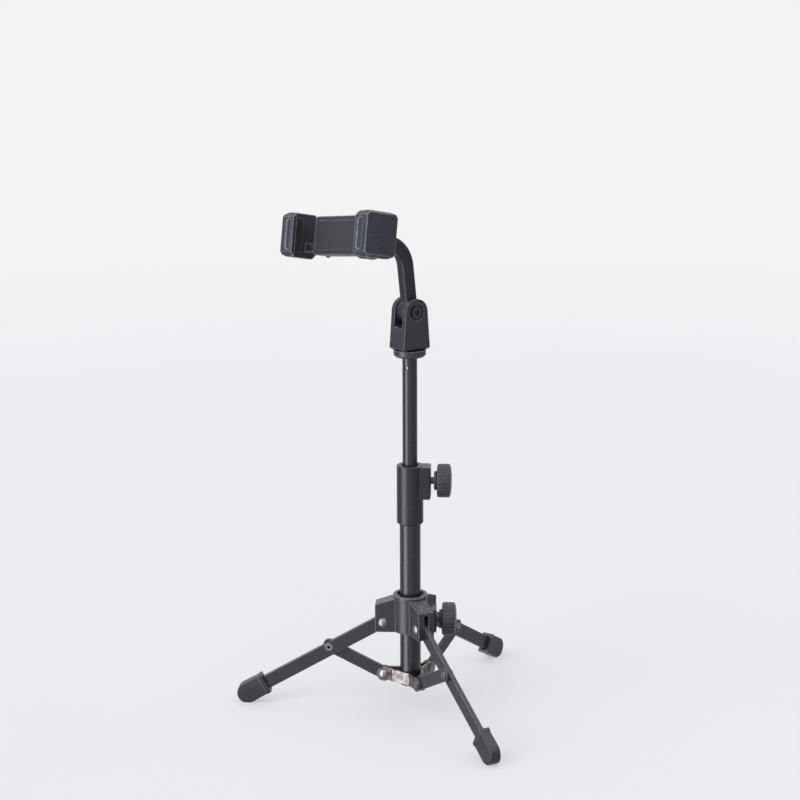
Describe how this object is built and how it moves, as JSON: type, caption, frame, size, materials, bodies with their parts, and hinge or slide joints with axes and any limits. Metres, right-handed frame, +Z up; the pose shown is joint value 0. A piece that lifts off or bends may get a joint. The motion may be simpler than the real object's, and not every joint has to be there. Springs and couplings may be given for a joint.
{
  "type": "desktop mic stand",
  "caption": "Desktop microphone stand: folding tripod, telescopic pole, tilting bent arm and a two-jaw device clamp on a ball joint.",
  "frame": {"origin": "point where the pole axis meets the surface that the feet stand on", "axes": "+Z up along the pole; +X the side of both locking knobs; the left leg points to -X and the arm reaches towards -X and -Y"},
  "size_m": [0.1907, 0.2202, 0.3648],
  "materials": {
    "tube_black": "satin black powder coat on steel tube",
    "bar_black": "satin black paint on flat steel bar",
    "moulded_black": "fine-grained black glass-filled nylon",
    "jaw_black": "matt black moulding with smooth edges",
    "rubber_black": "satin black rubber",
    "rivet_steel": "bright nickel-plated steel",
    "spider_steel": "bright warm-tinted pressed steel",
    "brass_part": "turned brass",
    "black_fastener": "black-oxide steel"
  },
  "bodies": {
    "root": {"lower_tube": "tube_black", "tube_plug": "moulded_black", "spider_left_front": "spider_steel", "spider_front_rear": "spider_steel", "spider_rear_left": "spider_steel", "spider_rivets": "rivet_steel", "height_collar": "moulded_black", "collar_insert": "brass_part", "collar_bush": "moulded_black"},
    "brace_left": {"brace_left": "bar_black"},
    "brace_front": {"brace_front": "bar_black"},
    "brace_rear": {"brace_rear": "bar_black"},
    "leg_left": {"leg_left": "bar_black", "foot_left": "rubber_black", "brace_rivet_left": "rivet_steel"},
    "leg_front": {"leg_front": "bar_black", "foot_front": "rubber_black", "brace_rivet_front": "rivet_steel"},
    "leg_rear": {"leg_rear": "bar_black", "foot_rear": "rubber_black", "brace_rivet_rear": "rivet_steel"},
    "hub": {"tripod_hub": "moulded_black", "hub_rivets": "rivet_steel", "hub_insert": "brass_part"},
    "hub_pad": {"hub_pad": "brass_part"},
    "hub_knob": {"hub_screw": "black_fastener", "hub_knob": "moulded_black"},
    "height_pad": {"height_pad": "brass_part"},
    "height_knob": {"height_screw": "black_fastener", "height_knob": "moulded_black"},
    "upper": {"upper_tube": "tube_black", "slide_bush": "moulded_black", "pole_ring": "moulded_black", "top_stud": "rivet_steel"},
    "clevis": {"clevis": "moulded_black", "clevis_insert": "brass_part", "tilt_bolt": "black_fastener", "tilt_nut": "black_fastener", "tilt_washers": "rivet_steel"},
    "arm": {"arm": "moulded_black", "arm_bush": "brass_part", "ball_stud": "rivet_steel"},
    "clamp": {"housing_front": "jaw_black", "housing_back": "jaw_black", "housing_pad": "rubber_black", "housing_screws": "rivet_steel", "pinion_pin": "rivet_steel", "friction_spring": "spider_steel"},
    "ball_nut": {"ball_nut": "moulded_black"},
    "pinion": {"pinion": "rivet_steel"},
    "jaw_left": {"jaw_left": "jaw_black", "jaw_pad_left": "rubber_black"},
    "jaw_right": {"jaw_right": "jaw_black", "jaw_pad_right": "rubber_black"}
  },
  "joints": [
    {"name": "tripod_fold", "type": "hinge", "parent": "root", "child": "brace_left", "pos_m": [-0.019, 0, 0.02224], "axis": [0, 1, 0], "range_deg": [0, 52]},
    {"name": "brace_front_fold", "type": "hinge", "parent": "root", "child": "brace_front", "pos_m": [0.0095, -0.01645, 0.02224], "axis": [-0.866, -0.5, 0], "range_deg": [0, 52]},
    {"name": "brace_rear_fold", "type": "hinge", "parent": "root", "child": "brace_rear", "pos_m": [0.0095, 0.01645, 0.02224], "axis": [0.866, -0.5, 0], "range_deg": [0, 52]},
    {"name": "leg_left_fold", "type": "hinge", "parent": "brace_left", "child": "leg_left", "pos_m": [-0.05833, 0, 0.04263], "axis": [0, -1, 0], "range_deg": [0, 104]},
    {"name": "leg_front_fold", "type": "hinge", "parent": "brace_front", "child": "leg_front", "pos_m": [0.02916, -0.05051, 0.04263], "axis": [0.866, 0.5, 0], "range_deg": [0, 104]},
    {"name": "leg_rear_fold", "type": "hinge", "parent": "brace_rear", "child": "leg_rear", "pos_m": [0.02916, 0.05051, 0.04263], "axis": [-0.866, 0.5, 0], "range_deg": [0, 104]},
    {"name": "hub_on_left_leg", "type": "hinge", "parent": "leg_left", "child": "hub", "pos_m": [-0.019, 0, 0.06301], "axis": [0, 1, 0], "range_deg": [0, 52]},
    {"name": "hub_pad_travel", "type": "slide", "parent": "hub", "child": "hub_pad", "axis": [1, 0, 0], "range_m": [0, 0.0007999]},
    {"name": "hub_knob_turn", "type": "hinge", "parent": "hub_pad", "child": "hub_knob", "pos_m": [0.0186, 0, 0.06491], "axis": [1, 0, 0], "range_deg": [0, 360]},
    {"name": "height_slide", "type": "slide", "parent": "root", "child": "upper", "axis": [0, 0, 1], "range_m": [-0.072, 0.036]},
    {"name": "height_pad_travel", "type": "slide", "parent": "root", "child": "height_pad", "axis": [1, 0, 0], "range_m": [0, 0.0007999]},
    {"name": "height_knob_turn", "type": "hinge", "parent": "height_pad", "child": "height_knob", "pos_m": [0.0146, 0, 0.1664], "axis": [1, 0, 0], "range_deg": [0, 360]},
    {"name": "clevis_pan", "type": "hinge", "parent": "upper", "child": "clevis", "pos_m": [0, 0, 0.26], "axis": [0, 0, 1], "range_deg": [-180, 180]},
    {"name": "arm_tilt", "type": "hinge", "parent": "clevis", "child": "arm", "pos_m": [0, 0, 0.2865], "axis": [0.6428, -0.766, 0], "range_deg": [-40, 60]},
    {"name": "ball_roll", "type": "hinge", "parent": "arm", "child": "clamp", "pos_m": [-0.02941, -0.02468, 0.33933], "axis": [-0.7517, -0.6308, 0.1925], "continuous": true},
    {"name": "ball_nut_turn", "type": "hinge", "parent": "clamp", "child": "ball_nut", "pos_m": [-0.02941, -0.02468, 0.33933], "axis": [0.7517, 0.6308, -0.1925], "range_deg": [0, 180]},
    {"name": "jaw_right_slide", "type": "slide", "parent": "clamp", "child": "jaw_right", "axis": [0.6555, -0.7467, 0.1128], "range_m": [-0.0105, 0.005]},
    {"name": "jaw_left_slide", "type": "slide", "parent": "clamp", "child": "jaw_left", "axis": [-0.6555, 0.7467, -0.1128], "range_m": [-0.0105, 0.005]},
    {"name": "pinion_turn", "type": "hinge", "parent": "clamp", "child": "pinion", "pos_m": [-0.04189, -0.03515, 0.34253], "axis": [-0.7517, -0.6308, 0.1925], "range_deg": [-72, 151]}
  ],
  "couplings": [
    {"joint": "brace_front_fold", "follows": "tripod_fold", "ratio": 1},
    {"joint": "brace_rear_fold", "follows": "tripod_fold", "ratio": 1},
    {"joint": "leg_left_fold", "follows": "tripod_fold", "ratio": 2},
    {"joint": "leg_front_fold", "follows": "tripod_fold", "ratio": 2},
    {"joint": "leg_rear_fold", "follows": "tripod_fold", "ratio": 2},
    {"joint": "hub_on_left_leg", "follows": "tripod_fold", "ratio": 1},
    {"joint": "hub_knob_turn", "follows": "hub_pad_travel", "rad_per_m": 7854},
    {"joint": "height_knob_turn", "follows": "height_pad_travel", "rad_per_m": 7854},
    {"joint": "jaw_left_slide", "follows": "jaw_right_slide", "ratio": 1},
    {"joint": "pinion_turn", "follows": "jaw_right_slide", "rad_per_m": -250}
  ]
}
